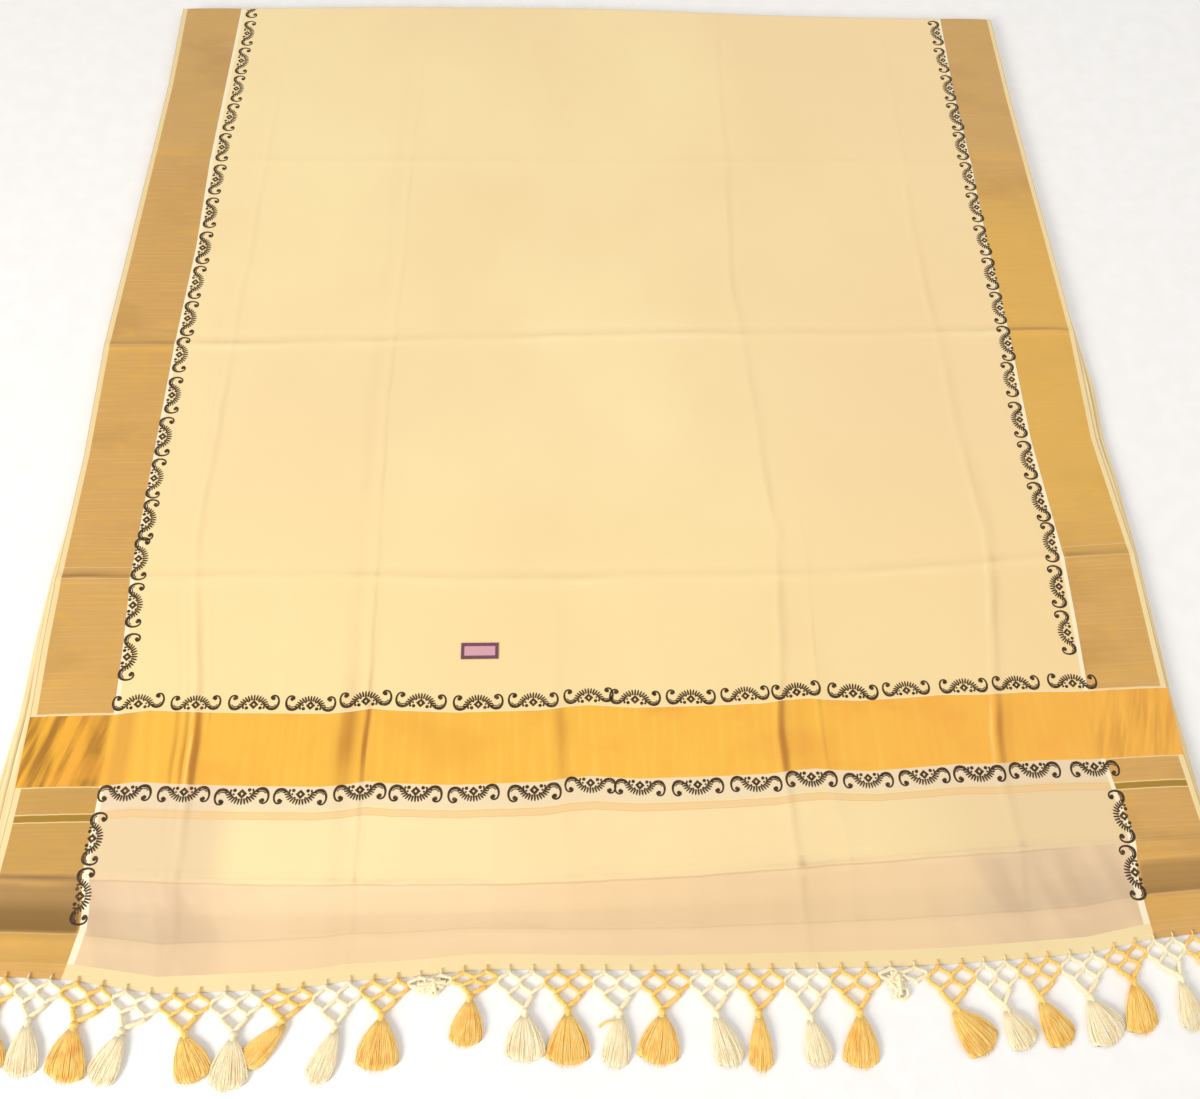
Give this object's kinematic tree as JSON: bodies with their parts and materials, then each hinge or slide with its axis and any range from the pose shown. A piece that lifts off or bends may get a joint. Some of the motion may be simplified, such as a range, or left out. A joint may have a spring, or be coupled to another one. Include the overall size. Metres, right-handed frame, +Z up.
{
  "type": "saree",
  "caption": "Cotton saree folded in layers and laid flat, with gold borders, a gold cross band, block printed motifs and a knotted tassel fringe at its end",
  "frame": {"origin": "on the surface that the folded saree lies on, under the middle of the whole length and width with the fringe", "axes": "+X across the cloth to the right border, +Y along the cloth from the fringed end to the far fold, +Z up"},
  "size_m": [1.1966, 1.411, 0.0165],
  "materials": {
    "field_cotton": "plain woven cream cotton, fine slubs, matte, block printed in dark brown",
    "print_ink": "dark brown block print ink soaked into the cotton, matte, a little uneven",
    "panel_cotton": "thin open plain weave, cream turning tan where the layers below show through",
    "border_zari": "dull antique gold metallic weft on cotton warp, soft sheen, narrow cream selvedge",
    "band_zari": "bright gold metallic weft band, soft satin sheen",
    "hem_cotton": "turned and pressed cream cotton hem",
    "folded_cotton": "the folded layers below, cream cotton with gold edges",
    "label_cloth": "small blank woven label, plum with a paler middle",
    "gold_yarn": "soft twisted art silk yarn, golden, combed out in the tassels",
    "cream_yarn": "soft twisted cotton yarn, cream, combed out in the tassels"
  },
  "bodies": {
    "root": {"under_layers": "folded_cotton", "body_field": "field_cotton", "body_border_left": "border_zari", "body_border_right": "border_zari", "pallu_band": "band_zari", "pallu_field": "field_cotton", "pallu_end_panel": "panel_cotton", "pallu_border_left": "border_zari", "pallu_border_right": "border_zari", "hem": "hem_cotton", "label": "label_cloth", "fringe_00": "gold_yarn", "fringe_01": "cream_yarn", "fringe_02": "gold_yarn", "fringe_03": "cream_yarn", "fringe_04": "gold_yarn", "fringe_05": "cream_yarn", "fringe_06": "gold_yarn", "fringe_07": "cream_yarn", "fringe_08": "gold_yarn", "fringe_09": "cream_yarn", "fringe_10": "gold_yarn", "fringe_11": "cream_yarn", "fringe_12": "gold_yarn", "fringe_13": "cream_yarn", "fringe_14": "gold_yarn", "fringe_15": "cream_yarn", "fringe_16": "gold_yarn", "fringe_17": "cream_yarn", "fringe_18": "gold_yarn", "fringe_19": "cream_yarn", "fringe_20": "gold_yarn", "fringe_21": "cream_yarn", "fringe_22": "gold_yarn", "fringe_23": "cream_yarn", "fringe_24": "gold_yarn", "fringe_25": "cream_yarn", "fringe_26": "gold_yarn"}
  },
  "joints": []
}
